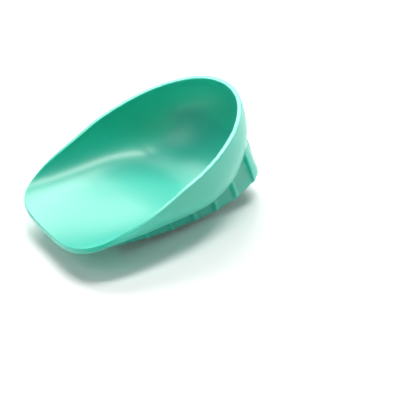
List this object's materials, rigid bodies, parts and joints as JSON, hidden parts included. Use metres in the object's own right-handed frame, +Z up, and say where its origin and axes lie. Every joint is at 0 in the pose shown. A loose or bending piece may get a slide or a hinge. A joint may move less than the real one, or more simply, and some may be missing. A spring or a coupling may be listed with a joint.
{
  "type": "heel cup",
  "caption": "One-piece moulded elastomer heel cup: an open bowl for the heel with a low toe lip, on a waffle of shock-absorbing ribs.",
  "frame": {"origin": "on the surface that the cup stands on, under the middle of its box", "axes": "+Z up with the cup standing on its rib tips, +Y towards the heel, -Y towards the toe lip, +X across the foot"},
  "size_m": [0.0692, 0.0874, 0.0426],
  "materials": {
    "elastomer": "satin"
  },
  "bodies": {
    "root": {"heel_cup": "elastomer"}
  },
  "joints": []
}
